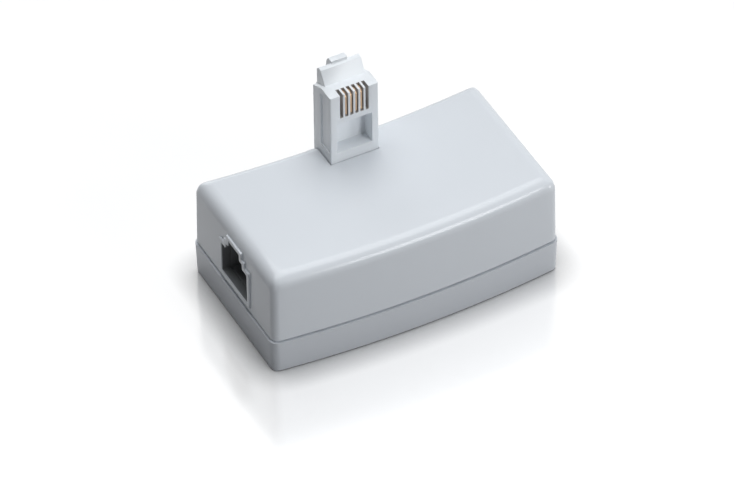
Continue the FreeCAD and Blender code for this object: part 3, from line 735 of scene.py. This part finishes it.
def stepped_outline(margin):
    """Points (y, z) of the opening's outline, grown by a margin, from the bottom up and around."""
    half, low, _ = STEPS[0]
    right = [(half + margin, low - margin)]
    for index, (half, _, high) in enumerate(STEPS):
        right.append((half + margin, high + margin))
        if index + 1 < len(STEPS):
            right.append((STEPS[index + 1][0] + margin, high + margin))
    left = [(-y, z) for y, z in reversed(right)]
    return [(JACK_Y + y, z) for y, z in right + left]


def stepped_frame(outer_margin, inner_margin, front, back):
    """A frame between two stepped outlines, from its front to its back along X."""
    shape = bmesh.new()
    outer = [shape.verts.new((front, y, z)) for y, z in stepped_outline(outer_margin)]
    inner = [shape.verts.new((front, y, z)) for y, z in stepped_outline(inner_margin)]
    for index in range(len(outer)):
        after = (index + 1) % len(outer)
        shape.faces.new((outer[index], inner[index], inner[after], outer[after]))
    pushed = bmesh.ops.extrude_face_region(shape, geom=list(shape.faces), use_keep_orig=True)
    back_verts = [item for item in pushed["geom"] if isinstance(item, bmesh.types.BMVert)]
    bmesh.ops.translate(shape, vec=(back - front, 0, 0), verts=back_verts)
    bmesh.ops.recalc_face_normals(shape, faces=shape.faces)
    half_depth = (back - front) / 2
    through = [
        edge for edge in shape.edges if abs(edge.verts[0].co.x - edge.verts[1].co.x) > half_depth
    ]
    bmesh.ops.bevel(
        shape, geom=through, offset=CORNER_RADIUS, affect="EDGES", segments=3, profile=0.5,
        material=-1,
    )
    return shape


# %% [markdown]
# The bezel stands a little proud of the end wall. Just inside it, the grey nose of the jack lines
# the hole in the same way.

# %% Bezel and nose
BEZEL_RIM = 0.85 * MM
BEZEL_FRONT = -28.98 * MM
BEZEL_BACK = -28.3 * MM
BEZEL_EDGE = 0.16 * MM
NOSE_FRONT = -28.8 * MM
NOSE_BACK = -27.15 * MM
NOSE_WALL = 0.4 * MM
NOSE_INSET = 0.04 * MM
NOSE_EDGE = 0.1 * MM

rim = stepped_frame(BEZEL_RIM, 0, BEZEL_FRONT, BEZEL_BACK)
jack_bezel = new_piece(rim, "jack_bezel", shell_white, "shell_plastic")
soften(jack_bezel, BEZEL_EDGE)
nose = stepped_frame(NOSE_WALL, -NOSE_INSET, NOSE_FRONT, NOSE_BACK)
jack_nose = new_piece(nose, "jack_nose", jack_grey, "jack_plastic")
soften(jack_nose, NOSE_EDGE)

# %% [markdown]
# ## Plug
#
# The plug is a moulding with many small slots, and the measured model has them all. A copy of its
# mesh is merged into clean faces, and a fine Bevel gives the edges the small radius that catches
# the light on a real one. The housing of the jack gets the same.


# %% Soft-edged copies of measured pieces
def softened_copy(node, name, material, slot, width, painted_shade_box=None, painted_shade_material=None):
    """A merged copy of a node with fine bevels, and painted shade on the faces inside a box."""
    shape = bmesh.new()
    shape.from_mesh(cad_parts[node].data)
    bmesh.ops.remove_doubles(shape, verts=shape.verts, dist=MERGE)
    bmesh.ops.dissolve_limit(
        shape, angle_limit=radians(1), use_dissolve_boundaries=False, verts=shape.verts,
        edges=shape.edges,
    )
    # Faces inside the box take the painted shade as a second material
    if painted_shade_box:
        for face in shape.faces:
            face.material_index = int(inside(face, *painted_shade_box))
    piece = new_piece(shape, name, material, slot, node)
    if painted_shade_box:
        piece.data.materials.append(painted_shade_material)
    soften(piece, width, segments=2, angle=30)
    return piece


# %% [markdown]
# The walls inside the comb of the plug get a darker, warm grey: painted shade, as little light gets
# in there, and a painted warm reflection of the gold contacts. The faces whose middle lies in a box
# behind the face of the plug take that painted shade.

# %% Plug and jack housings
PLUG_FACE = 7.1 * MM
COMB_START = 0.05 * MM
COMB_DEPTH = 1.95 * MM
COMB_HALF = 2.95 * MM
COMB_LOW = 31.7 * MM
COMB_HIGH = 37.05 * MM
PLUG_EDGE = 0.09 * MM
JACK_EDGE = 0.08 * MM
# The box of painted shade inside the plug's comb
comb_painted_shade_box = (
    Vector((PLUG_X - COMB_HALF, PLUG_FACE + COMB_START, COMB_LOW)),
    Vector((PLUG_X + COMB_HALF, PLUG_FACE + COMB_DEPTH, COMB_HIGH)),
)
plug_body = softened_copy(
    "plug_housing", "plug_body", plug_white, "plug_plastic", PLUG_EDGE, comb_painted_shade_box, slot_painted_shade
)
jack_body = softened_copy("jack_housing", "jack_body", jack_grey, "jack_plastic", JACK_EDGE)

# %% [markdown]
# ## Last step
#
# The dressed part has to keep the measured size. The last step brings the scene up to date.

# %% Bring the scene up to date
bpy.context.view_layer.update()
